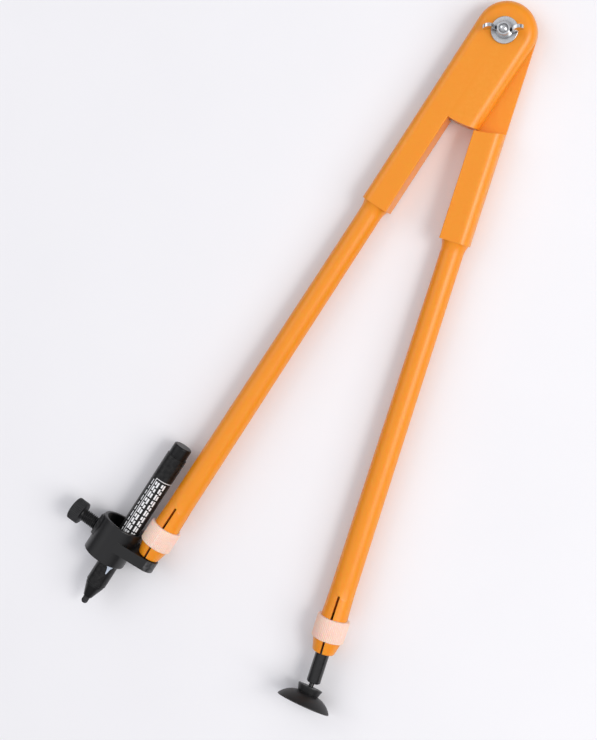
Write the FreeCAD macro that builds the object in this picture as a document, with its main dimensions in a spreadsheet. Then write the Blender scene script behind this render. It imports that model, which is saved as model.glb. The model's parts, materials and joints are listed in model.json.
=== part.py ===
import FreeCAD, Part
import math
import os
import Sketcher

# A large teaching compass for a writing board, lying flat with its wing nut up.
#
# The leg pivot is the Z axis and the back of the head is the plane Z = 0.  The anchor leg, with the
# suction cup, runs along -Y.  The marker leg is the same moulding turned over, so the two half-thick
# head plates lap and the two full-thick blocks stand side by side.  Every turned piece is drawn
# round its own Z axis, where Z is the distance from the pivot along the leg, and is then laid on
# the axis of its leg.

doc = FreeCAD.newDocument("board_compass")
sheet = doc.addObject("Spreadsheet::Sheet", "dims")

DIMENSIONS = {
    # opening of the legs, degrees
    "opening": 15.9,
    # leg moulding: head plate, block and round tube
    "head_radius": 20.6,
    "plate_thick": 9.95,
    "block_thick": 20,
    "block_inner": 0.5,
    "block_end": 142.2,
    "plate_reach": 66.5,
    "shoulder_reach": 67.6,
    "rim_round": 7,
    "edge_round": 0.8,
    "neck_radius": 9.4,
    "neck_length": 6.5,
    "tube_top_radius": 7.9,
    "tube_foot_radius": 8.9,
    # slotted collet at the foot of each leg
    "flare_start": 398,
    "flare_end": 429.8,
    "collet_radius": 10,
    "tip_radius": 8.1,
    "tip_round": 1.6,
    "leg_length": 439,
    "bore_radius": 5,
    "bore_end": 375,
    "slot_start": 396,
    "slot_width": 1.7,
    # lock ring
    "ring_start": 413,
    "ring_end": 429,
    "ring_radius": 11.7,
    "ring_gap": 0.05,
    "ring_chamfer": 0.7,
    # pivot bolt, washer and wing nut, M6
    "bolt_radius": 3,
    "bolt_gap": 0.06,
    "bolt_head_flats": 10,
    "bolt_head_thick": 4,
    "bolt_end": 30.2,
    "bolt_dome": 1.2,
    "hex_gap": 0.15,
    "washer_radius": 9,
    "washer_bore": 3.2,
    "washer_thick": 1.6,
    "washer_round": 0.3,
    "hub_foot_radius": 5.7,
    "hub_top_radius": 4.6,
    "hub_height": 7,
    "hub_foot_height": 1,
    "hub_round": 0.6,
    "wing_angle": 16,
    "wing_reach": 13.3,
    "wing_thick": 2.2,
    "wing_sway": 1.1,
    "wing_bend": 10.6,
    "wing_root": 5.6,
    "wing_elbow": 7.3,
    "wing_elbow_height": 12.5,
    "wing_heel_inset": 0.4,
    "wing_heel_height": 3.9,
    "wing_top": 13.5,
    "wing_corner": 4,
    # marker holder
    "rod_radius": 4.95,
    "stem_start": 411,
    "arm_start": 439.4,
    "arm_end": 447.5,
    "arm_radius": 8.75,
    "clamp_offset": 27.1,
    "clamp_radius": 16.1,
    "clamp_bore": 13.3,
    "clamp_start": 430,
    "clamp_end": 458.5,
    "boss_face": 43.5,
    "boss_width": 13,
    "boss_flare": 3,
    "boss_round": 0.8,
    "boss_start": 431.5,
    "boss_end": 447.5,
    "screw_height": 442.4,
    # thumb screw
    "screw_radius": 4.75,
    "screw_gap": 0.05,
    "screw_exposed": 13.2,
    "knob_radius": 8.6,
    "knob_thick": 8.5,
    "knob_chamfer": 0.6,
    # marker
    "marker_radius": 7.5,
    "marker_gap": 0.15,
    "marker_edge": 0.3,
    "barrel_start": 366.8,
    "barrel_end": 478,
    "barrel_bore": 6.3,
    "plug_start": 358.3,
    "plug_radius": 6.8,
    "plug_depth": 6,
    "plug_round": 1,
    "core_radius": 5.6,
    "core_start": 374,
    "core_end": 471.5,
    "nose_radius": 6.9,
    "nose_end": 490,
    "nose_tip_radius": 3.4,
    "nose_depth": 6,
    "nose_shoulder": 1.5,
    "nose_tip_round": 0.5,
    "nib_radius": 2.4,
    "nib_start": 462,
    "nib_end": 496,
    # foot rod with its ball joint and the suction cup
    "rod_start": 411,
    "rod_end": 461.5,
    "rod_chamfer": 0.6,
    "ball_centre": 457.5,
    "ball_radius": 3.6,
    "ball_gap": 0.05,
    "mouth_radius": 3.9,
    "mouth_angle": 48,
    "stud_neck": 1.75,
    "stud_flange": 5,
    "flange_start": 467.2,
    "flange_thick": 1.6,
    "cup_tilt": 4.1,
    "cup_lift": 14,
    "cup_start": 465,
    "collar_radius": 8.9,
    "collar_waist": 7.5,
    "collar_height": 4.9,
    "collar_edge": 0.5,
    "cup_end": 478,
    "cup_radius": 19.3,
    "cup_dome_radius": 17,
    "cup_rim_thick": 0.65,
    "cup_hollow_depth": 6.5,
}

for row, (alias, value) in enumerate(DIMENSIONS.items(), start=1):
    sheet.set(f"A{row}", alias)
    sheet.set(f"B{row}", str(value))
    sheet.setAlias(f"B{row}", alias)
doc.recompute()


def expand(expression):
    """Put the sheet's name before every dimension in an expression."""
    words = []
    word = ""
    for letter in str(expression) + " ":
        if letter.isalnum() or letter == "_":
            word += letter
            continue
        words.append(f"dims.{word}" if word in DIMENSIONS else word)
        words.append(letter)
        word = ""
    return "".join(words).strip()


def value_of(expression):
    return float(sheet.evalExpression(expand(expression)))


# ---------------------------------------------------------------- drawing helpers


def new_body(name):
    body = doc.addObject("PartDesign::Body", name)
    body.Label = name
    return body


def new_sketch(body, name, plane_role, offset=(0, 0, 0)):
    """A sketch on one of the body's own origin planes, moved by three sheet expressions."""
    sketch = body.newObject("Sketcher::SketchObject", name)
    planes = [item for item in body.Origin.OriginFeatures if item.Role == plane_role]
    sketch.AttachmentSupport = [(planes[0], "")]
    sketch.MapMode = "FlatFace"
    for axis, expression in zip("xyz", offset):
        sketch.setExpression(f"AttachmentOffset.Base.{axis}", expand(expression))
    return sketch


def arc_between(start, end, radius, turn):
    """The short arc of a given radius, turning left or right on its way from start to end."""
    chord = end - start
    middle = (start + end) / 2
    height = math.sqrt(max(radius**2 - (chord.Length / 2) ** 2, 0))
    left = FreeCAD.Vector(-chord.y, chord.x, 0).normalize()
    side = 1 if turn == "left" else -1
    centre = middle + left * height * side
    first, last = (start, end) if turn == "left" else (end, start)
    angles = [math.atan2(point.y - centre.y, point.x - centre.x) for point in (first, last)]
    circle = Part.Circle(centre, FreeCAD.Vector(0, 0, 1), radius)
    return Part.ArcOfCircle(circle, *angles)


def draw(sketch, corners):
    """Draw a closed outline and tie each corner and each radius to the sheet.

    A corner is (x, y), reached by a straight line, or (x, y, radius, turn), reached by an arc.
    """
    points = [FreeCAD.Vector(value_of(corner[0]), value_of(corner[1]), 0) for corner in corners]
    count = len(corners)
    ends = []
    for index, corner in enumerate(corners):
        start = points[index - 1]
        end = points[index]
        if len(corner) == 2:
            edge = sketch.addGeometry(Part.LineSegment(start, end))
            ends.append((edge, 1, 2))
            continue
        radius, turn = corner[2:]
        edge = sketch.addGeometry(arc_between(start, end, value_of(radius), turn))
        ends.append((edge, 1, 2) if turn == "left" else (edge, 2, 1))
        datum = sketch.addConstraint(Sketcher.Constraint("Radius", edge, value_of(radius)))
        sketch.setExpression(f"Constraints[{datum}]", expand(radius))
    for index, corner in enumerate(corners):
        edge, _, end_side = ends[index]
        after, after_side, _ = ends[(index + 1) % count]
        sketch.addConstraint(Sketcher.Constraint("Coincident", edge, end_side, after, after_side))
        for kind, axis_line, expression, place in (
            ("DistanceX", -2, corner[0], points[index].x),
            ("DistanceY", -1, corner[1], points[index].y),
        ):
            if str(expression) == "0":
                on_axis = Sketcher.Constraint("PointOnObject", edge, end_side, axis_line)
                sketch.addConstraint(on_axis)
                continue
            datum = sketch.addConstraint(Sketcher.Constraint(kind, edge, end_side, place))
            sketch.setExpression(f"Constraints[{datum}]", expand(expression))


def draw_circle(sketch, radius):
    circle = Part.Circle(FreeCAD.Vector(), FreeCAD.Vector(0, 0, 1), value_of(radius))
    edge = sketch.addGeometry(circle)
    sketch.addConstraint(Sketcher.Constraint("Coincident", edge, 3, -1, 1))
    datum = sketch.addConstraint(Sketcher.Constraint("Radius", edge, value_of(radius)))
    sketch.setExpression(f"Constraints[{datum}]", expand(radius))


def pad(body, name, sketch, length):
    feature = body.newObject("PartDesign::Pad", name)
    feature.Profile = sketch
    feature.setExpression("Length", expand(length))
    return feature


def pocket(body, name, sketch, length):
    """Cut downwards from the sketch, against its normal."""
    feature = body.newObject("PartDesign::Pocket", name)
    feature.Profile = sketch
    feature.setExpression("Length", expand(length))
    return feature


def revolve(body, name, sketch):
    feature = body.newObject("PartDesign::Revolution", name)
    feature.Profile = sketch
    feature.ReferenceAxis = (sketch, ["V_Axis"])
    feature.Angle = 360
    return feature


def turned(name, corners):
    """A body turned round its Z axis from an outline of (radius, height) corners."""
    body = new_body(name)
    sketch = new_sketch(body, name + "_outline", "XZ_Plane")
    draw(sketch, corners)
    revolve(body, name + "_turned", sketch)
    return body


def soften(body, name, chooser, radius):
    """Fillet every edge of the body's tip that the chooser accepts."""
    doc.recompute()
    tip = body.Tip
    edges = [f"Edge{i + 1}" for i, edge in enumerate(tip.Shape.Edges) if chooser(edge)]
    feature = body.newObject("PartDesign::Fillet", name)
    feature.Base = (tip, edges)
    feature.setExpression("Radius", expand(radius))
    return feature


def near(value, expression, slack=0.01):
    return abs(value - value_of(expression)) < slack


# ---------------------------------------------------------------- leg moulding


# Radius of the arc that ends along the tube, from how far it drops and how long it is.
NECK_DROP = "(neck_radius - tube_top_radius)"
NECK_ARC = f"({NECK_DROP}^2 + neck_length^2) / (2 * {NECK_DROP})"


def make_leg(name):
    """One leg: lapped head plate, block, neck, tapering tube and slotted collet."""
    body = new_body(name)

    plate = new_sketch(body, name + "_plate_outline", "XY_Plane")
    side_drop = "sqrt(plate_reach^2 - head_radius^2)"
    inner_drop = "sqrt(plate_reach^2 - block_inner^2)"
    draw(plate, [
        ("head_radius", 0),
        (0, "head_radius", "head_radius", "left"),
        ("-head_radius", 0, "head_radius", "left"),
        ("-head_radius", f"-{side_drop}"),
        ("block_inner", f"-{inner_drop}", "plate_reach", "left"),
        ("block_inner", "-block_end"),
        ("head_radius", "-block_end"),
    ])
    pad(body, name + "_plate", plate, "plate_thick")

    block = new_sketch(body, name + "_block_outline", "XY_Plane")
    draw(block, [
        ("head_radius", "-sqrt(shoulder_reach^2 - head_radius^2)"),
        ("block_inner", "-sqrt(shoulder_reach^2 - block_inner^2)", "shoulder_reach", "right"),
        ("block_inner", "-block_end"),
        ("head_radius", "-block_end"),
    ])
    pad(body, name + "_block", block, "block_thick")

    def outer_rim(edge):
        box = edge.BoundBox
        on_back = near(box.ZMin, 0) and near(box.ZMax, 0)
        on_front = near(box.ZMin, "block_thick") and near(box.ZMax, "block_thick")
        at_side = near(box.XMin, "head_radius") and near(box.XMax, "head_radius")
        at_far_side = near(box.XMin, "-head_radius") and near(box.XMax, "-head_radius")
        round_head = box.YMax > 0.01 and box.YMin > -0.01
        return (on_back and (at_side or at_far_side or round_head)) or (on_front and at_side)

    soften(body, name + "_rim_round", outer_rim, "rim_round")

    def inner_edges(edge):
        box = edge.BoundBox
        at_inner = near(box.XMin, "block_inner") and near(box.XMax, "block_inner")
        outer_face = near(box.ZMin, 0) or near(box.ZMax, "block_thick")
        along = box.YLength > box.ZLength and near(box.ZLength, 0)
        return at_inner and outer_face and along

    soften(body, name + "_inner_round", inner_edges, "edge_round")

    tube = new_sketch(
        body, name + "_tube_outline", "XY_Plane", ("(head_radius + block_inner) / 2", 0, "block_thick / 2")
    )
    draw(tube, [
        (0, "-block_end + neck_length"),
        ("neck_radius", "-block_end + neck_length"),
        ("neck_radius", "-block_end"),
        ("tube_top_radius", "-block_end - neck_length", NECK_ARC, "left"),
        ("tube_foot_radius", "-flare_start"),
        ("collet_radius", "-flare_end"),
        ("tip_radius", "-leg_length + tip_round"),
        ("tip_radius - tip_round", "-leg_length", "tip_round", "right"),
        ("bore_radius", "-leg_length"),
        ("bore_radius", "-bore_end"),
        (0, "-bore_end"),
    ])
    revolve(body, name + "_tube", tube)

    hex_pocket = new_sketch(body, name + "_hex_outline", "XY_Plane", (0, 0, "bolt_head_thick"))
    draw(hex_pocket, hexagon("bolt_head_flats / 2 + hex_gap"))
    pocket(body, name + "_hex_pocket", hex_pocket, "bolt_head_thick")

    hole = new_sketch(body, name + "_hole_outline", "XY_Plane", (0, 0, "plate_thick"))
    draw_circle(hole, "bolt_radius + bolt_gap")
    pocket(body, name + "_pivot_hole", hole, "plate_thick")

    half_slot = "slot_width / 2"
    for label, plane_role, offset in (
        ("flat", "XY_Plane", ("(head_radius + block_inner) / 2", 0, "block_thick / 2 + collet_radius")),
        ("upright", "YZ_Plane", (0, "block_thick / 2", "(head_radius + block_inner) / 2 + collet_radius")),
    ):
        slot = new_sketch(body, f"{name}_{label}_slot_outline", plane_role, offset)
        corners = [
            (f"-{half_slot}", "-slot_start"),
            (f"-{half_slot}", "-leg_length - slot_width"),
            (half_slot, "-leg_length - slot_width"),
            (half_slot, "-slot_start"),
        ]
        if plane_role == "YZ_Plane":
            corners = [(along, across) for across, along in corners]
        draw(slot, corners)
        pocket(body, f"{name}_{label}_slot", slot, "2 * collet_radius")
    return body


def hexagon(half_flats):
    """Corners of a hexagon with two flats square to the X axis."""
    corner = f"({half_flats}) / cos(30)"
    half_side = f"{corner} * sin(30)"
    return [
        (half_flats, half_side),
        (0, corner),
        (f"-({half_flats})", half_side),
        (f"-({half_flats})", f"-{half_side}"),
        (0, f"-{corner}"),
        (half_flats, f"-{half_side}"),
    ]


# ---------------------------------------------------------------- pivot hardware


def make_pivot_bolt():
    """Hexagon bolt, its head flush in the back of the anchor leg and its end domed."""
    body = new_body("pivot_bolt")
    head = new_sketch(body, "bolt_head_outline", "XY_Plane")
    draw(head, hexagon("bolt_head_flats / 2"))
    pad(body, "bolt_head", head, "bolt_head_thick")
    shank = new_sketch(body, "bolt_shank_outline", "XZ_Plane")
    draw(shank, [
        (0, "bolt_head_thick / 2"),
        ("bolt_radius", "bolt_head_thick / 2"),
        ("bolt_radius", "bolt_end - bolt_dome"),
        (0, "bolt_end", "(bolt_radius^2 + bolt_dome^2) / (2 * bolt_dome)", "left"),
    ])
    revolve(body, "bolt_shank", shank)
    return body


def make_washer():
    body = turned("front_washer", [
        ("washer_bore", 0),
        ("washer_radius", 0),
        ("washer_radius", "washer_thick"),
        ("washer_bore", "washer_thick"),
    ])
    soften(body, "washer_round", lambda edge: near(edge.BoundBox.XMax, "washer_radius"), "washer_round")
    return body


def loose_sketch(name, corners, upright=False):
    """A sketch outside any body, in the XY plane or standing in the XZ plane."""
    sketch = doc.addObject("Sketcher::SketchObject", name)
    if upright:
        sketch.Placement = rotate((1, 0, 0), 90)
    draw(sketch, corners)
    return sketch


def extrude(name, sketch, length, symmetric=False):
    feature = doc.addObject("Part::Extrusion", name)
    feature.Base = sketch
    feature.DirMode = "Normal"
    feature.Solid = True
    feature.Symmetric = symmetric
    feature.setExpression("LengthFwd", expand(length))
    return feature


def boolean(kind, name, first, second):
    feature = doc.addObject(f"Part::{kind}", name)
    feature.Base = first
    feature.Tool = second
    return feature


def make_wing_nut():
    """A conical hub with two wings that sway like a letter S and rise outwards."""
    hub_outline = loose_sketch("hub_outline", [
        (0, 0),
        ("hub_foot_radius", 0),
        ("hub_foot_radius", "hub_foot_height"),
        ("hub_top_radius", "hub_height - hub_round"),
        ("hub_top_radius - hub_round", "hub_height", "hub_round", "left"),
        (0, "hub_height"),
    ], upright=True)
    hub = doc.addObject("Part::Revolution", "hub")
    hub.Source = hub_outline
    hub.Axis = FreeCAD.Vector(0, 0, 1)
    hub.Angle = 360
    hub.Solid = True

    half = "wing_thick / 2"
    plan = loose_sketch("wing_plan", [
        ("wing_reach", half),
        ("wing_reach / 2", f"{half} - wing_sway", "wing_bend", "left"),
        (0, half, "wing_bend", "right"),
        ("-wing_reach / 2", f"{half} + wing_sway", "wing_bend", "right"),
        ("-wing_reach", half, "wing_bend", "left"),
        ("-wing_reach", f"-{half}"),
        ("-wing_reach / 2", f"-{half} + wing_sway", "wing_bend", "right"),
        (0, f"-{half}", "wing_bend", "left"),
        ("wing_reach / 2", f"-{half} - wing_sway", "wing_bend", "left"),
        ("wing_reach", f"-{half}", "wing_bend", "right"),
    ])
    strip = extrude("wing_strip", plan, "wing_top")
    side = loose_sketch("wing_side", [
        ("wing_reach", "wing_top - wing_corner"),
        ("wing_reach - wing_corner", "wing_top", "wing_corner", "left"),
        ("wing_elbow", "wing_elbow_height"),
        ("hub_top_radius", "wing_root"),
        ("-hub_top_radius", "wing_root"),
        ("-wing_elbow", "wing_elbow_height"),
        ("-wing_reach + wing_corner", "wing_top"),
        ("-wing_reach", "wing_top - wing_corner", "wing_corner", "left"),
        ("-wing_reach + wing_heel_inset", "wing_heel_height"),
        ("-hub_foot_radius", "hub_foot_height"),
        ("hub_foot_radius", "hub_foot_height"),
        ("wing_reach - wing_heel_inset", "wing_heel_height"),
    ], upright=True)
    silhouette = extrude("wing_silhouette", side, "wing_reach", symmetric=True)
    wings = boolean("Common", "wings", strip, silhouette)
    solid_nut = boolean("Fuse", "solid_nut", hub, wings)
    bore = doc.addObject("Part::Cylinder", "nut_bore")
    bore.setExpression("Radius", expand("bolt_radius + bolt_gap"))
    bore.setExpression("Height", expand("2 * wing_top"))
    return boolean("Cut", "wing_nut", solid_nut, bore)


# ---------------------------------------------------------------- lock ring


def make_lock_ring(name):
    """A collar whose bore has the taper of the collet that it squeezes."""
    slope = "(collet_radius - tube_foot_radius) / (flare_end - flare_start)"
    return turned(name, [
        (f"tube_foot_radius + {slope} * (ring_start - flare_start) + ring_gap", "ring_start"),
        ("ring_radius - ring_chamfer", "ring_start"),
        ("ring_radius", "ring_start + ring_chamfer"),
        ("ring_radius", "ring_end - ring_chamfer"),
        ("ring_radius - ring_chamfer", "ring_end"),
        (f"tube_foot_radius + {slope} * (ring_end - flare_start) + ring_gap", "ring_end"),
    ])


# ---------------------------------------------------------------- marker holder and marker


def make_marker_holder():
    """Stem for the collet, tapering arm, clamp tube with a flat boss and a hole for the screw."""
    body = turned("marker_holder", [
        (0, "stem_start"),
        ("rod_radius - rod_chamfer", "stem_start"),
        ("rod_radius", "stem_start + rod_chamfer"),
        ("rod_radius", "(arm_start + arm_end) / 2"),
        (0, "(arm_start + arm_end) / 2"),
    ])

    lean = "(clamp_radius - arm_radius) / clamp_offset"
    square = f"sqrt(1 - ({lean})^2)"
    near_tube = (f"clamp_offset - clamp_radius * {lean}", f"clamp_radius * {square}")
    near_stem = (f"-arm_radius * {lean}", f"arm_radius * {square}")
    arm = new_sketch(body, "arm_outline", "XY_Plane", (0, 0, "arm_start"))
    draw(arm, [
        (near_tube[0], near_tube[1]),
        near_stem,
        ("-arm_radius", 0, "arm_radius", "left"),
        (near_stem[0], f"-{near_stem[1]}", "arm_radius", "left"),
        (near_tube[0], f"-{near_tube[1]}"),
    ])
    pad(body, "arm", arm, "arm_end - arm_start")

    tube = new_sketch(body, "clamp_outline", "XY_Plane", ("clamp_offset", 0, "clamp_start"))
    draw_circle(tube, "clamp_radius")
    pad(body, "clamp_tube", tube, "clamp_end - clamp_start")

    boss = new_sketch(body, "boss_outline", "XY_Plane", (0, 0, "boss_start"))
    draw(boss, [
        ("clamp_offset + clamp_bore", "-boss_width / 2 - boss_flare"),
        ("boss_face", "-boss_width / 2"),
        ("boss_face", "boss_width / 2"),
        ("clamp_offset + clamp_bore", "boss_width / 2 + boss_flare"),
        ("clamp_offset", "boss_width / 2 + boss_flare"),
        ("clamp_offset", "-boss_width / 2 - boss_flare"),
    ])
    pad(body, "boss", boss, "boss_end - boss_start")

    def boss_edges(edge):
        box = edge.BoundBox
        return near(box.XMin, "boss_face") and near(box.XMax, "boss_face")

    soften(body, "boss_round_edges", boss_edges, "boss_round")

    bore = new_sketch(body, "clamp_bore_outline", "XY_Plane", ("clamp_offset", 0, "clamp_end + edge_round"))
    draw_circle(bore, "clamp_bore")
    pocket(body, "clamp_hole", bore, "clamp_end - clamp_start + 2 * edge_round")

    def tube_rims(edge):
        box = edge.BoundBox
        at_end = near(box.ZMin, "clamp_start") or near(box.ZMin, "clamp_end")
        return at_end and near(box.ZLength, 0) and isinstance(edge.Curve, Part.Circle)

    soften(body, "clamp_rims", tube_rims, "edge_round")

    outside = "boss_face + edge_round"
    screw_hole = new_sketch(body, "screw_hole_outline", "YZ_Plane", (0, "screw_height", outside))
    draw_circle(screw_hole, "screw_radius + screw_gap")
    pocket(body, "screw_hole", screw_hole, f"{outside} - clamp_offset")
    return body


# The marker lies against the wall of the clamp tube that is nearest to the leg, and the screw
# presses on it from the other side.
MARKER_OFFSET = "clamp_offset - clamp_bore + marker_radius + marker_gap"
SCREW_TIP = f"{MARKER_OFFSET} + marker_radius + marker_gap"


def make_thumb_screw():
    """Screw with a round knob: its Z axis starts at the tip that presses on the marker."""
    reach = f"(boss_face + screw_exposed - ({SCREW_TIP}))"
    return turned("thumb_screw", [
        (0, 0),
        ("screw_radius - knob_chamfer", 0),
        ("screw_radius", "knob_chamfer"),
        ("screw_radius", reach),
        ("knob_radius - knob_chamfer", reach),
        ("knob_radius", f"{reach} + knob_chamfer"),
        ("knob_radius", f"{reach} + knob_thick - knob_chamfer"),
        ("knob_radius - knob_chamfer", f"{reach} + knob_thick"),
        (0, f"{reach} + knob_thick"),
    ])


def make_marker_pieces():
    barrel = turned("marker_barrel", [
        ("barrel_bore", "barrel_start"),
        ("marker_radius - marker_edge", "barrel_start"),
        ("marker_radius", "barrel_start + marker_edge"),
        ("marker_radius", "barrel_end - marker_edge"),
        ("marker_radius - marker_edge", "barrel_end"),
        ("barrel_bore", "barrel_end"),
    ])
    plug = turned("marker_end_plug", [
        (0, "plug_start"),
        ("plug_radius - plug_round", "plug_start"),
        ("plug_radius", "plug_start + plug_round", "plug_round", "left"),
        ("plug_radius", "barrel_start"),
        ("barrel_bore", "barrel_start"),
        ("barrel_bore", "barrel_start + plug_depth"),
        (0, "barrel_start + plug_depth"),
    ])
    core = turned("marker_ink_core", [
        ("nib_radius", "nib_start"),
        ("nib_radius", "core_end"),
        ("core_radius", "core_end"),
        ("core_radius", "core_start"),
        (0, "core_start"),
        (0, "nib_start"),
    ])
    nose = turned("marker_nose", [
        ("nib_radius", "barrel_end - nose_depth"),
        ("barrel_bore", "barrel_end - nose_depth"),
        ("barrel_bore", "barrel_end"),
        ("nose_radius", "barrel_end"),
        ("nose_radius", "barrel_end + nose_shoulder"),
        ("nose_tip_radius", "nose_end - nose_tip_round"),
        ("nose_tip_radius - nose_tip_round", "nose_end", "nose_tip_round", "left"),
        ("nib_radius", "nose_end"),
    ])
    nib = turned("marker_nib", [
        (0, "nib_start"),
        ("nib_radius", "nib_start"),
        ("nib_radius", "nib_end - nib_radius"),
        (0, "nib_end", "nib_radius", "left"),
    ])
    return [barrel, plug, core, nose, nib]


# ---------------------------------------------------------------- foot of the anchor leg


def make_foot_rod():
    """Rod with a ball socket in its end; the mouth is narrower than the ball, so it stays in."""
    socket = "(ball_radius + ball_gap)"
    return turned("foot_rod", [
        (0, "rod_start"),
        ("rod_radius - rod_chamfer", "rod_start"),
        ("rod_radius", "rod_start + rod_chamfer"),
        ("rod_radius", "rod_end - rod_chamfer"),
        ("rod_radius - rod_chamfer", "rod_end"),
        ("mouth_radius", "rod_end"),
        (f"{socket} * sin(mouth_angle)", f"ball_centre + {socket} * cos(mouth_angle)"),
        (0, f"ball_centre - {socket}", socket, "right"),
    ])


def make_ball_stud():
    """Ball, neck and the flange that is held in the collar of the suction cup."""
    return turned("ball_stud", [
        (0, "ball_centre - ball_radius"),
        ("stud_neck", "ball_centre + sqrt(ball_radius^2 - stud_neck^2)", "ball_radius", "left"),
        ("stud_neck", "flange_start"),
        ("stud_flange", "flange_start"),
        ("stud_flange", "flange_start + flange_thick"),
        (0, "flange_start + flange_thick"),
    ])


def make_suction_cup():
    """Rubber cup with a flared collar, a domed back and a shallow hollow."""
    hollow_rim = "(cup_radius - cup_rim_thick)"
    hollow_arc = f"({hollow_rim}^2 + cup_hollow_depth^2) / (2 * cup_hollow_depth)"
    return turned("suction_cup", [
        ("stud_neck + ball_gap", "cup_start"),
        ("collar_radius", "cup_start"),
        ("collar_radius", "cup_start + collar_edge"),
        ("collar_waist", "cup_start + collar_height"),
        ("cup_radius", "cup_end - cup_rim_thick", "cup_dome_radius", "left"),
        ("cup_radius", "cup_end"),
        (hollow_rim, "cup_end"),
        (0, "cup_end - cup_hollow_depth", hollow_arc, "right"),
        (0, "flange_start + flange_thick + ball_gap"),
        ("stud_flange + ball_gap", "flange_start + flange_thick + ball_gap"),
        ("stud_flange + ball_gap", "flange_start - ball_gap"),
        ("stud_neck + ball_gap", "flange_start - ball_gap"),
    ])


# ---------------------------------------------------------------- assembly


def rotate(axis, angle):
    return FreeCAD.Placement(FreeCAD.Vector(), FreeCAD.Rotation(FreeCAD.Vector(*axis), angle))


def move(x, y, z):
    return FreeCAD.Placement(FreeCAD.Vector(x, y, z), FreeCAD.Rotation())


LEG_AXIS = value_of("(head_radius + block_inner) / 2")
HALF_THICK = value_of("block_thick / 2")

anchor_side = FreeCAD.Placement()
turned_over = move(0, 0, 2 * HALF_THICK) * rotate((0, 1, 0), 180)
marker_side = rotate((0, 0, 1), -value_of("opening")) * turned_over
along_leg = move(LEG_AXIS, 0, HALF_THICK) * rotate((1, 0, 0), 90)
marker_axis = move(value_of(MARKER_OFFSET), 0, 0)
screw_axis = move(value_of(SCREW_TIP), 0, value_of("screw_height")) * rotate((0, 1, 0), 90)
ball = value_of("ball_centre")
cup_turn = rotate((0, 1, 0), -value_of("cup_tilt")) * rotate((1, 0, 0), -value_of("cup_lift"))
tilt_on_ball = move(0, 0, ball) * cup_turn * move(0, 0, -ball)
on_front = move(0, 0, 2 * HALF_THICK)
on_washer = move(0, 0, 2 * HALF_THICK + value_of("washer_thick"))

nodes = []


def place(piece, placement):
    piece.Placement = placement
    nodes.append(piece)


place(make_leg("anchor_leg"), anchor_side)
place(make_leg("marker_leg"), marker_side)
place(make_pivot_bolt(), anchor_side)
place(make_washer(), on_front)
place(make_wing_nut(), on_washer * rotate((0, 0, 1), value_of("wing_angle")))
place(make_lock_ring("anchor_lock_ring"), anchor_side * along_leg)
place(make_lock_ring("marker_lock_ring"), marker_side * along_leg)
place(make_marker_holder(), marker_side * along_leg)
place(make_thumb_screw(), marker_side * along_leg * screw_axis)
for marker_piece in make_marker_pieces():
    place(marker_piece, marker_side * along_leg * marker_axis)
place(make_foot_rod(), anchor_side * along_leg)
place(make_ball_stud(), anchor_side * along_leg * tilt_on_ball)
place(make_suction_cup(), anchor_side * along_leg * tilt_on_ball)

doc.recompute()

for item in doc.Objects:
    if "Invalid" in item.State or "Error" in item.State:
        raise RuntimeError(f"{item.Label} did not recompute: {item.State}")

os.makedirs("parts", exist_ok=True)
for node in nodes:
    if node.Shape.isNull() or not node.Shape.isValid() or len(node.Shape.Solids) != 1:
        raise RuntimeError(f"{node.Label} is not one valid solid")
    node.Shape.exportStep(f"parts/{node.Label}.step")
    box = node.Shape.BoundBox
    print(f"{node.Label:18s} volume {node.Shape.Volume:9.0f}  x {box.XMin:7.1f} {box.XMax:7.1f}"
          f"  y {box.YMin:7.1f} {box.YMax:7.1f}  z {box.ZMin:6.1f} {box.ZMax:6.1f}")
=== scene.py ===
import bmesh
import bpy
import json
from math import ceil, cos, radians, sin, tau
from mathutils import Matrix, Vector


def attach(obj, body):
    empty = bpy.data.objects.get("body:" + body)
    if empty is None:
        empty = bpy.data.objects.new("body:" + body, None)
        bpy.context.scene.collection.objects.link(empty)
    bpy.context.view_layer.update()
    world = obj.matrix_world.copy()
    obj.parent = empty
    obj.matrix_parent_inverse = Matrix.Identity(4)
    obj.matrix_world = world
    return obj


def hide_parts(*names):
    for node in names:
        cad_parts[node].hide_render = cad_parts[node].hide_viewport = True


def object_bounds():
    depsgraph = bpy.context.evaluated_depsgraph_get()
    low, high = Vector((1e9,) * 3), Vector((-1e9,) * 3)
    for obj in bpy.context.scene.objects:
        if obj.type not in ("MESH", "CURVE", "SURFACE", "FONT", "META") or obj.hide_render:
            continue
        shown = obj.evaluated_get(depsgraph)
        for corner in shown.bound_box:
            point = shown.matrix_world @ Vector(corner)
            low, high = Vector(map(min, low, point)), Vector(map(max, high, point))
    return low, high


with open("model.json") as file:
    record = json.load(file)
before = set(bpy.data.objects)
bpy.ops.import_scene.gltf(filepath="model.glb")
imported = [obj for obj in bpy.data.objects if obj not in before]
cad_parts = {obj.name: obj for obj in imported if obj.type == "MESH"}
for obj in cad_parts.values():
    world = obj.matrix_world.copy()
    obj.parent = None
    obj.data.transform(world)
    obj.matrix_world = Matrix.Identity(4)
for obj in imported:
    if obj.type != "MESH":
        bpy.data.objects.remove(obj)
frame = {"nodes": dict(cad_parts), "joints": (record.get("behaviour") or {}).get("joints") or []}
cad_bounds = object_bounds()

# A large orange board compass with a clamped marker and a suction cup foot, lying on a pale table.
# The place of every piece comes from the frame: turned pieces are measured on their CAD meshes,
# along the axes of the joints that carry them. Lengths are in metres.

nodes = frame["nodes"]
joints = {joint["name"]: joint for joint in frame["joints"]}
UP = Vector((0, 0, 1))


# ---------------------------------------------------------------- measuring the frame


def joint_axis(name):
    return Vector(joints[name]["axis"]).normalized()


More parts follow.
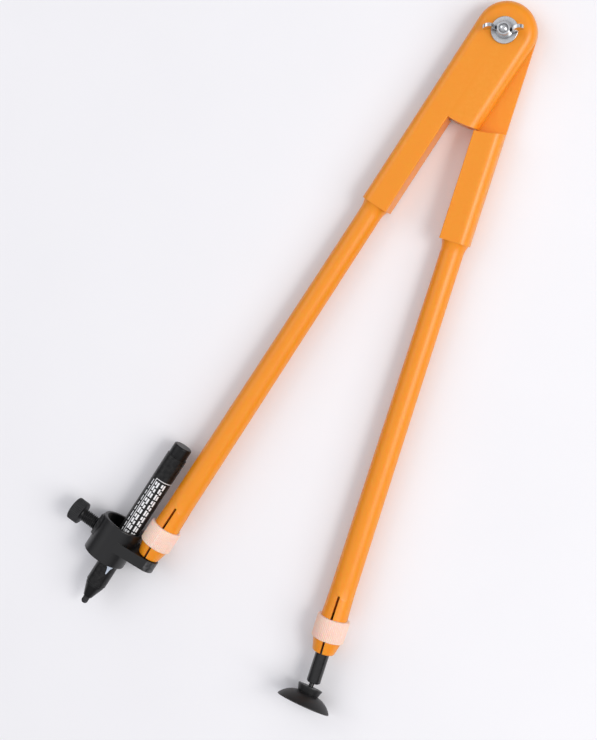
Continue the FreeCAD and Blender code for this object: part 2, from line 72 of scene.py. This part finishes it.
class Turned:
    """A turned CAD piece: its axis line, its two ends and its radius at any station."""

    def __init__(self, node, axis):
        self.axis = axis
        self.side = axis.cross(UP).normalized()
        self.front = self.side.cross(axis)
        points = [vertex.co for vertex in nodes[node].data.vertices]
        across = [point.dot(self.side) for point in points]
        height = [point.dot(self.front) for point in points]
        along = [point.dot(axis) for point in points]
        self.start = min(along)
        self.end = max(along)
        centre_across = (min(across) + max(across)) / 2
        centre_height = (min(height) + max(height)) / 2
        self.line = self.side * centre_across + self.front * centre_height
        self.rings = [
            (station, (point - self.line - axis * station).length)
            for station, point in zip(along, points)
        ]
        self.radius = max(radius for _, radius in self.rings)

    def at(self, station, radius=0.0, angle=0.0):
        """A point at a station along the axis; angle 0 is on top, towards the viewer."""
        spoke = self.front * cos(angle) + self.side * sin(angle)
        return self.line + self.axis * station + spoke * radius


# ---------------------------------------------------------------- mesh building


# The middle of a rounded edge, as a share of the edge's size.
EDGE_MIDDLE = 0.3


def wave(angle):
    """Rises from 0 to 1 and falls back once in every full turn of the angle."""
    return (1 - cos(angle)) / 2


def new_piece(name, mesh_data, body, finish, smooth_angle=60):
    """Make an object from a bmesh, smooth it, give it its material and let it ride on a body."""
    bmesh.ops.recalc_face_normals(mesh_data, faces=mesh_data.faces)
    mesh = bpy.data.meshes.new(name)
    mesh_data.to_mesh(mesh)
    mesh_data.free()
    mesh.materials.append(finish)
    mesh.shade_smooth()
    mesh.set_sharp_from_angle(angle=radians(smooth_angle))
    piece = bpy.data.objects.new(name, mesh)
    bpy.context.scene.collection.objects.link(piece)
    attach(piece, body)
    return piece


def skin(rings, cap_ends=False, joined_ends=False):
    """A bmesh through rings of points that all have the same number of points."""
    build = bmesh.new()
    rows = [[build.verts.new(point) for point in ring] for ring in rings]
    count = len(rows[0])
    pairs = list(zip(rows, rows[1:]))
    if joined_ends:
        pairs.append((rows[-1], rows[0]))
    for row, after in pairs:
        for index in range(count):
            beside = (index + 1) % count
            build.faces.new((row[index], row[beside], after[beside], after[index]))
    if cap_ends:
        build.faces.new(list(reversed(rows[0])))
        build.faces.new(rows[-1])
    return build


# ---------------------------------------------------------------- materials


class Shader:
    """A Principled material whose colour, roughness and bump come from noise in object space."""

    def __init__(self, name, roughness, **constants):
        self.material = bpy.data.materials.new(name)
        self.material.use_nodes = True
        self.tree = self.material.node_tree
        self.surface = self.tree.nodes["Principled BSDF"]
        self.surface.inputs["Roughness"].default_value = roughness
        for socket, value in constants.items():
            self.surface.inputs[socket.replace("_", " ")].default_value = value
        self.place = self.add("ShaderNodeTexCoord").outputs["Object"]

    def add(self, kind, **settings):
        node = self.tree.nodes.new(kind)
        for key, value in settings.items():
            setattr(node, key, value)
        return node

    def link(self, start, end):
        self.tree.links.new(start, end)

    def noise(self, scale, detail=4, stretch=None):
        """Noise with a number of features a metre, drawn out along an axis where stretch says."""
        node = self.add("ShaderNodeTexNoise")
        node.inputs["Scale"].default_value = scale
        node.inputs["Detail"].default_value = detail
        place = self.place
        if stretch:
            mapping = self.add("ShaderNodeMapping")
            mapping.inputs["Scale"].default_value = stretch
            self.link(place, mapping.inputs["Vector"])
            place = mapping.outputs["Vector"]
        self.link(place, node.inputs["Vector"])
        return node.outputs["Fac"]

    def spread(self, value, low, high, low_in=0.3, high_in=0.7):
        """Map a value to a range; noise lies mostly between 0.3 and 0.7."""
        node = self.add("ShaderNodeMapRange")
        node.inputs["From Min"].default_value = low_in
        node.inputs["From Max"].default_value = high_in
        node.inputs["To Min"].default_value = low
        node.inputs["To Max"].default_value = high
        self.link(value, node.inputs["Value"])
        return node.outputs["Result"]

    def mixed(self, factor, first, second):
        """A colour between two: each is a plain colour or another node's output."""
        node = self.add("ShaderNodeMix", data_type="RGBA")
        self.link(factor, node.inputs["Factor"])
        for socket, colour in (("A", first), ("B", second)):
            target = next(item for item in node.inputs if item.name == socket and item.type == "RGBA")
            if isinstance(colour, tuple):
                target.default_value = (*colour, 1)
            else:
                self.link(colour, target)
        return next(item for item in node.outputs if item.type == "RGBA")

    def colour(self, output):
        self.link(output, self.surface.inputs["Base Color"])

    def roughen(self, value, low, high):
        self.link(self.spread(value, low, high), self.surface.inputs["Roughness"])

    def bump(self, height, depth):
        """Roughen the surface by a height output, as far as a depth in metres."""
        node = self.add("ShaderNodeBump")
        node.inputs["Strength"].default_value = 1
        node.inputs["Distance"].default_value = depth
        self.link(height, node.inputs["Height"])
        self.link(node.outputs["Normal"], self.surface.inputs["Normal"])

    def openness(self, distance):
        """A factor that falls where other surfaces stand close by."""
        occlusion = self.add("ShaderNodeAmbientOcclusion")
        occlusion.inputs["Distance"].default_value = distance
        return occlusion.outputs["AO"]

    def worn_and_highlit_edges(self, sharpness=0.04):
        """A factor that rises on convex edges, broken up by noise."""
        pointed = self.add("ShaderNodeNewGeometry").outputs["Pointiness"]
        edges = self.spread(pointed, 0, 1, 0.5 + sharpness / 2, 0.5 + 2 * sharpness)
        broken = self.add("ShaderNodeMath", operation="MULTIPLY")
        self.link(edges, broken.inputs[0])
        self.link(self.spread(self.noise(400), 0, 1), broken.inputs[1])
        return broken.outputs["Value"]


# Features a metre of the slow colour drift and of the uneven gloss of plastic.
DRIFT_SCALE = 25
GLOSS_SCALE = 90
GLOSS_SPREAD = 0.06


def plastic(name, base, shade, edge, roughness, grain_scale=1500, grain_depth=0.00001, **constants):
    """Moulded plastic: slow colour drift, uneven gloss, fine grain and paler edges, worn on most
    parts and a painted highlight on the holder.
    """
    shader = Shader(name, roughness, **constants)
    drift = shader.spread(shader.noise(DRIFT_SCALE), 0, 1)
    shader.colour(shader.mixed(shader.worn_and_highlit_edges(), shader.mixed(drift, base, shade), edge))
    shader.roughen(
        shader.noise(GLOSS_SCALE), roughness * (1 - GLOSS_SPREAD), roughness * (1 + GLOSS_SPREAD)
    )
    shader.bump(shader.noise(grain_scale, 2), grain_depth)
    return shader.material


# How far off another surface starts to darken a crevice with painted shade, and the range of that
# shading over which the painted shade fades out.
CREVICE = 0.004
CREVICE_SHADE_RANGE = (0.35, 0.85)
DULL_SCALE = 500
METAL_GLOSS_SCALE = 900
SCRATCH_SCALE = 3000
SCRATCH_DEPTH = 0.000008


def metal(name, base, shade, crevice_shade, roughness, scratch_stretch, **constants):
    """Plated metal with fine turning marks, small dull patches and painted shade darkening its
    crevices.
    """
    shader = Shader(name, roughness, Metallic=1, **constants)
    dull = shader.spread(shader.noise(DULL_SCALE), 0, 1)
    # Painted shade: the colour darkens towards the crevice colour where other surfaces stand close
    # by.
    openness = shader.spread(shader.openness(CREVICE), 0, 1, *CREVICE_SHADE_RANGE)
    shader.colour(shader.mixed(openness, crevice_shade, shader.mixed(dull, base, shade)))
    shader.roughen(shader.noise(METAL_GLOSS_SCALE), roughness * 0.7, roughness * 1.5)
    shader.bump(shader.noise(SCRATCH_SCALE, 3, scratch_stretch), SCRATCH_DEPTH)
    return shader.material


orange_plastic = plastic(
    "orange_plastic", (0.87, 0.295, 0.009), (0.865, 0.29, 0.009), (0.89, 0.32, 0.02), 0.35,
    grain_depth=0.000002, Specular_IOR_Level=0.45, Subsurface_Weight=0.3, Subsurface_Scale=0.003,
)
ring_plastic = plastic(
    "ring_plastic", (0.95, 0.66, 0.54), (0.92, 0.61, 0.49), (0.97, 0.78, 0.70), 0.42,
    Subsurface_Weight=0.4, Subsurface_Scale=0.002,
)
# The holder's pale edge colour is a painted highlight along the edges of its clamp and arm.
holder_plastic = plastic(
    "holder_plastic", (0.005, 0.005, 0.0055), (0.007, 0.007, 0.0075), (0.09, 0.09, 0.092), 0.3,
    grain_scale=2200, grain_depth=0.00001, Specular_IOR_Level=0.5,
)
screw_plastic = plastic(
    "screw_plastic", (0.008, 0.008, 0.009), (0.011, 0.011, 0.012), (0.045, 0.045, 0.048), 0.42,
    grain_scale=2200, grain_depth=0.00002, Specular_IOR_Level=0.4,
)
barrel_plastic = plastic(
    "barrel_plastic", (0.003, 0.003, 0.0035), (0.004, 0.004, 0.0045), (0.02, 0.02, 0.02), 0.28,
    grain_depth=0.000001, Specular_IOR_Level=0.25,
)
plug_plastic = plastic(
    "plug_plastic", (0.004, 0.004, 0.0045), (0.005, 0.005, 0.0055), (0.02, 0.02, 0.02), 0.30,
    grain_depth=0.000001, Specular_IOR_Level=0.25,
)
nose_plastic = plastic(
    "nose_plastic", (0.004, 0.004, 0.0045), (0.005, 0.005, 0.0055), (0.02, 0.02, 0.02), 0.30,
    grain_depth=0.000001, Specular_IOR_Level=0.3,
)
rod_plastic = plastic(
    "rod_plastic", (0.003, 0.003, 0.0035), (0.004, 0.004, 0.0045), (0.02, 0.02, 0.02), 0.16,
    grain_depth=0.000003, Specular_IOR_Level=0.5,
)
rubber = plastic(
    "rubber", (0.008, 0.008, 0.0085), (0.011, 0.0105, 0.011), (0.03, 0.03, 0.03), 0.45,
    grain_scale=1800, grain_depth=0.00002, Specular_IOR_Level=0.35,
)
felt = plastic(
    "felt", (0.02, 0.02, 0.022), (0.03, 0.03, 0.032), (0.03, 0.03, 0.032), 0.95,
    grain_scale=3000, grain_depth=0.0002,
)
# The third colour of each metal is the painted shade in its crevices.
plated_steel = metal(
    "plated_steel", (0.70, 0.71, 0.72), (0.56, 0.57, 0.58), (0.06, 0.06, 0.06), 0.1, (1, 1, 1)
)
washer_steel = metal(
    "washer_steel", (0.68, 0.69, 0.70), (0.58, 0.59, 0.60), (0.20, 0.20, 0.20), 0.24, (1, 1, 12)
)
stud_plastic = plastic(
    "stud_plastic", (0.005, 0.005, 0.0055), (0.007, 0.007, 0.0075), (0.03, 0.03, 0.03), 0.4
)
white_ink = plastic("white_ink", (0.80, 0.81, 0.83), (0.74, 0.75, 0.78), (0.85, 0.85, 0.86), 0.55)
blue_ink = plastic("blue_ink", (0.50, 0.56, 0.66), (0.44, 0.50, 0.62), (0.56, 0.62, 0.70), 0.5)

FINISHES = {
    orange_plastic: ("anchor_leg", "marker_leg"),
    plated_steel: ("pivot_bolt", "wing_nut"),
    washer_steel: ("front_washer",),
    holder_plastic: ("marker_holder",),
    barrel_plastic: ("marker_barrel",),
    plug_plastic: ("marker_end_plug",),
    nose_plastic: ("marker_nose",),
    felt: ("marker_ink_core", "marker_nib"),
    rod_plastic: ("foot_rod",),
    stud_plastic: ("ball_stud",),
    rubber: ("suction_cup",),
    screw_plastic: ("thumb_screw",),
    ring_plastic: ("anchor_lock_ring", "marker_lock_ring"),
}


def dress(node, finish):
    """Put a material on every slot of a CAD node."""
    if not nodes[node].material_slots:
        nodes[node].data.materials.append(finish)
    for slot in nodes[node].material_slots:
        slot.material = finish


for finish, members in FINISHES.items():
    for member in members:
        dress(member, finish)


# ---------------------------------------------------------------- ribbed lock rings


RING_RIBS = 54
POINTS_PER_RIB = 8
RIB_DEPTH = 0.0003
RING_EDGE = 0.0007


def make_ribbed_ring(node, body, axis):
    """A lock ring with fine ribs along it; its bore and ends are those of the CAD ring."""
    ring = Turned(node, axis)
    middle = (ring.start + ring.end) / 2
    bores = [
        min(radius for station, radius in ring.rings if (station > middle) == past_middle)
        for past_middle in (False, True)
    ]
    steps = POINTS_PER_RIB * RING_RIBS

    def circle(station, radius, depth=0.0):
        points = []
        for step in range(steps):
            angle = tau * step / steps
            hollow = depth * wave(RING_RIBS * angle)
            points.append(ring.at(station, radius - hollow, angle))
        return points

    round_middle = RING_EDGE * EDGE_MIDDLE
    outline = [
        (ring.start, bores[0], 0),
        (ring.start, ring.radius - RING_EDGE, 0),
        (ring.start + round_middle, ring.radius - round_middle, RIB_DEPTH / 2),
        (ring.start + RING_EDGE, ring.radius, RIB_DEPTH),
        (ring.end - RING_EDGE, ring.radius, RIB_DEPTH),
        (ring.end - round_middle, ring.radius - round_middle, RIB_DEPTH / 2),
        (ring.end, ring.radius - RING_EDGE, 0),
        (ring.end, bores[1], 0),
    ]
    build = skin([circle(*corner) for corner in outline], joined_ends=True)
    piece = new_piece("ribbed_" + node, build, body, ring_plastic)
    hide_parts(node)


make_ribbed_ring("anchor_lock_ring", "anchor_ring", -joint_axis("anchor_ring_slide"))
make_ribbed_ring("marker_lock_ring", "marker_ring", -joint_axis("marker_ring_slide"))


# ---------------------------------------------------------------- knurled thumb screw


THREAD_PITCH = 0.00145
THREAD_DEPTH = 0.0009
# Under 1, the crests of the thread are narrower than its grooves.
CREST_WIDTH = 0.8
SLICES_PER_PITCH = 8
TIP_CHAMFER = THREAD_PITCH / 3
KNURLS = 36
KNURL_DEPTH = 0.0005
POINTS_PER_KNURL = 4
KNOB_EDGE = 0.0008
# The flat of the tip as a share of the shank, and that of the knob's end as a share of the knob.
TIP_FLAT = 0.7
KNOB_FLAT = 0.5


def make_thumb_screw():
    """The screw's coarse thread as a helix that runs into a knob with straight knurls."""
    screw = Turned("thumb_screw", joint_axis("screw_travel"))
    nearly_knob = screw.radius * 0.9
    knob_start = min(station for station, radius in screw.rings if radius > nearly_knob)
    shank = max(radius for station, radius in screw.rings if station < knob_start - THREAD_PITCH)
    steps = POINTS_PER_KNURL * KNURLS

    def thread_ring(station, fade):
        points = []
        for step in range(steps):
            angle = tau * step / steps
            turns = (station - screw.start) / THREAD_PITCH - angle / tau
            groove = THREAD_DEPTH * fade * wave(tau * turns) ** CREST_WIDTH
            points.append(screw.at(station, shank - groove, angle))
        return points

    def knob_ring(station, radius, depth):
        points = []
        for step in range(steps):
            angle = tau * step / steps
            in_groove = step % POINTS_PER_KNURL in (1, 2)
            points.append(screw.at(station, radius - depth * in_groove, angle))
        return points

    length = knob_start - screw.start
    slices = ceil(length / THREAD_PITCH * SLICES_PER_PITCH)
    rings = [knob_ring(screw.start, shank * TIP_FLAT, 0)]
    for index in range(slices + 1):
        station = screw.start + TIP_CHAMFER + (length - TIP_CHAMFER) * index / slices
        fade = min(1, (knob_start - station) / THREAD_PITCH)
        rings.append(thread_ring(station, fade))
    round_middle = KNOB_EDGE * EDGE_MIDDLE
    for station, inset, depth in (
        (knob_start, KNOB_EDGE, 0),
        (knob_start + round_middle, round_middle, KNURL_DEPTH / 2),
        (knob_start + KNOB_EDGE, 0, KNURL_DEPTH),
        (screw.end - KNOB_EDGE, 0, KNURL_DEPTH),
        (screw.end - round_middle, round_middle, KNURL_DEPTH / 2),
        (screw.end, KNOB_EDGE, 0),
        (screw.end, screw.radius * (1 - KNOB_FLAT), 0),
    ):
        rings.append(knob_ring(station, screw.radius - inset, depth))
    build = skin(rings, cap_ends=True)
    piece = new_piece(
        "knurled_thumb_screw", build, "screw", screw_plastic, smooth_angle=50
    )
    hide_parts("thumb_screw")


make_thumb_screw()


# ---------------------------------------------------------------- print on the marker


INK_HEIGHT = 0.00006
INK_STEP = radians(6)
marker = Turned("marker_barrel", -joint_axis("marker_slide"))


def print_patch(build, start, end, angle_from, angle_to, end_width=1.0):
    """Add a thin curved patch of ink, just off the barrel; end_width narrows it to its end."""
    steps = max(2, ceil(abs(angle_to - angle_from) / INK_STEP))
    middle = (angle_from + angle_to) / 2
    half = (angle_to - angle_from) / 2
    corners = []
    for height in (INK_HEIGHT / 4, INK_HEIGHT):
        for station, width in ((start, 1.0), (end, end_width)):
            corners.append([
                build.verts.new(marker.at(
                    station, marker.radius + height, middle + half * width * (2 * step / steps - 1)
                ))
                for step in range(steps + 1)
            ])
    low_start, low_end, high_start, high_end = corners
    for one, two in (
        (low_start, low_end),
        (high_end, high_start),
        (low_end, high_end),
        (high_start, low_start),
    ):
        for step in range(steps):
            build.faces.new((one[step], one[step + 1], two[step + 1], two[step]))
    build.faces.new((low_start[0], low_end[0], high_end[0], high_start[0]))
    build.faces.new((low_start[-1], high_start[-1], high_end[-1], low_end[-1]))


# The label's place along the barrel and round it, in degrees from the top.
LABEL_START = marker.start + 0.0195
LABEL_END = marker.start + 0.090
LABEL_EDGES = (-100, 17)
FRAME_WIDTH = 0.0005
# Each column's middle and width in degrees, and how many lines of dashes it has.
COLUMNS = ((-2, 28, 2), (-40, 28, 2), (31, 8, 1))
DASHES_START = LABEL_START + 4 * FRAME_WIDTH
DASHES_END = LABEL_END - 3 * FRAME_WIDTH
DASH_GAP = 0.0012
DASH_LENGTHS = (0.0042, 0.0026, 0.0034)
# How much of its line a dash fills across.
DASH_FILL = 0.72


def make_label():
    """A thin frame line round columns of plain dashes, in place of the lettering."""
    build = bmesh.new()
    half_line = FRAME_WIDTH / marker.radius / 2
    for edge in LABEL_EDGES:
        middle = radians(edge)
        print_patch(build, LABEL_START, LABEL_END, middle - half_line, middle + half_line)
    low, high = [radians(edge) for edge in LABEL_EDGES]
    for station in (LABEL_START, LABEL_END - FRAME_WIDTH):
        print_patch(build, station, station + FRAME_WIDTH, low, high)
    for centre, spread, lines in COLUMNS:
        line_pitch = spread / lines
        for line in range(lines):
            middle = radians(centre - spread / 2 + line_pitch * (line + 0.5))
            half = radians(line_pitch) * DASH_FILL / 2
            station = DASHES_START
            step = line
            while station < DASHES_END - FRAME_WIDTH:
                length = min(DASH_LENGTHS[step % len(DASH_LENGTHS)], DASHES_END - station)
                print_patch(build, station, station + length, middle - half, middle + half)
                station += length + DASH_GAP
                step += 1
    new_piece("marker_label", build, "marker", white_ink)


TRIANGLE_START = LABEL_END + 0.0025
TRIANGLE_END = TRIANGLE_START + 0.007
TRIANGLE_EDGES = (-85, 22)
# The width of the triangle's tip as a share of its base.
TRIANGLE_TIP = 0.05


def make_triangle():
    """A pale mark on the barrel below the clamp, pointing to the tip."""
    build = bmesh.new()
    low, high = [radians(edge) for edge in TRIANGLE_EDGES]
    print_patch(build, TRIANGLE_START, TRIANGLE_END, low, high, end_width=TRIANGLE_TIP)
    new_piece("marker_triangle", build, "marker", blue_ink)


make_label()
make_triangle()


# ---------------------------------------------------------------- table, light and camera


# The lowest points of the cup and the clamp shift as the plane tips, so it is found again.
PLANE_PASSES = 4


def resting_plane():
    """The plane under the cup, the clamp and the head: a point on it and its upward normal."""
    normal = UP
    for _ in range(PLANE_PASSES):
        cup, clamp = [
            min((vertex.co for vertex in nodes[node].data.vertices), key=normal.dot).copy()
            for node in ("suction_cup", "marker_holder")
        ]
        feet = (clamp - cup).normalized()
        level = Vector((-feet.y, feet.x, 0)).normalized()
        if level.y < 0:
            level = -level
        rises = []
        for leg in ("anchor_leg", "marker_leg"):
            for vertex in nodes[leg].data.vertices:
                arm = vertex.co - cup
                reach = arm.dot(level)
                if reach > (cup - cad_bounds[1]).length / 2:
                    rises.append((arm.z - feet.z * arm.dot(feet)) / reach)
        slope = (level + UP * min(rises)).normalized()
        normal = feet.cross(slope).normalized()
        if normal.z < 0:
            normal = -normal
    return cup, normal


# Half the width of the table.
TABLE_REACH = 3.0


def make_table():
    """A wide pale table top, level with what the compass rests on."""
    point, normal = resting_plane()
    build = bmesh.new()
    bmesh.ops.create_grid(build, x_segments=2, y_segments=2, size=TABLE_REACH)
    turn = UP.rotation_difference(normal).to_matrix().to_4x4()
    build.transform(Matrix.Translation(point) @ turn)
    shader = Shader("table_surface", 0.6)
    drift = shader.spread(shader.noise(6), 0, 1)
    shader.colour(shader.mixed(drift, (0.88, 0.875, 0.90), (0.90, 0.895, 0.92)))
    shader.roughen(shader.noise(40), 0.5, 0.7)
    shader.bump(shader.noise(900, 2), 0.00002)
    mesh = bpy.data.meshes.new("table")
    build.to_mesh(mesh)
    build.free()
    mesh.materials.append(shader.material)
    table = bpy.data.objects.new("table", mesh)
    bpy.context.scene.collection.objects.link(table)


MIDDLE = (cad_bounds[0] + cad_bounds[1]) / 2
# Each light's offset from the middle of the object, its width, its power in watts and its colour.
LIGHTS = {
    "key_light": ((2.2, 0.2, 2.0), 1.9, 40, (1.0, 0.99, 0.98)),
    "edge_light": ((1.5, 0.3, 1.8), 0.5, 8, (1.0, 0.98, 0.94)),
    "fill_light": ((-1.8, 0.6, 1.8), 1.8, 12, (0.97, 0.98, 1.0)),
}
# The studio is dark low down and pale overhead, which gives the plated nut its contrast.
SKY_LOW = (0.06, 0.06, 0.065, 1)
SKY_HIGH = (0.80, 0.80, 0.83, 1)
SKY_STRENGTH = 1.0


def area_light(name, offset, size, power, colour):
    """A square soft light that stands off from the middle of the object and looks at it."""
    data = bpy.data.lights.new(name, "AREA")
    data.size = size
    data.energy = power
    data.color = colour
    light = bpy.data.objects.new(name, data)
    light.location = MIDDLE + Vector(offset)
    light.rotation_euler = Vector(offset).to_track_quat("Z", "Y").to_euler()
    bpy.context.scene.collection.objects.link(light)


def make_lights():
    """The area lights, and a sky that brightens from the horizon upwards."""
    for name, (offset, size, power, colour) in LIGHTS.items():
        area_light(name, offset, size, power, colour)
    world = bpy.data.worlds.new("studio")
    world.use_nodes = True
    tree = world.node_tree
    background = tree.nodes["Background"]
    background.inputs["Strength"].default_value = SKY_STRENGTH
    direction = tree.nodes.new("ShaderNodeTexCoord").outputs["Generated"]
    parts = tree.nodes.new("ShaderNodeSeparateXYZ")
    ramp = tree.nodes.new("ShaderNodeValToRGB")
    ramp.color_ramp.elements[0].color = SKY_LOW
    ramp.color_ramp.elements[1].color = SKY_HIGH
    tree.links.new(direction, parts.inputs["Vector"])
    tree.links.new(parts.outputs["Z"], ramp.inputs["Fac"])
    tree.links.new(ramp.outputs["Color"], background.inputs["Color"])
    bpy.context.scene.world = world


# The camera looks down almost square to the table, leaning and turned as the photograph is.
CAMERA_PLACE = Vector((0.155, -0.148, 1.0079))
CAMERA_TURN = [radians(angle) for angle in (-2.05, 13.754, 17.871)]
SENSOR_HEIGHT = 24
# The focal length as a multiple of the sensor's height.
FOCAL_RATIO = 2.0058


def make_camera():
    """A camera whose picture is as high as the sensor, whatever its width."""
    data = bpy.data.cameras.new("camera")
    data.sensor_fit = "VERTICAL"
    data.sensor_height = SENSOR_HEIGHT
    data.lens = FOCAL_RATIO * SENSOR_HEIGHT
    camera = bpy.data.objects.new("camera", data)
    camera.location = CAMERA_PLACE
    camera.rotation_euler = CAMERA_TURN
    bpy.context.scene.collection.objects.link(camera)
    bpy.context.scene.camera = camera


make_table()
make_lights()
make_camera()
bpy.context.scene.view_settings.view_transform = "Standard"

bpy.context.view_layer.update()
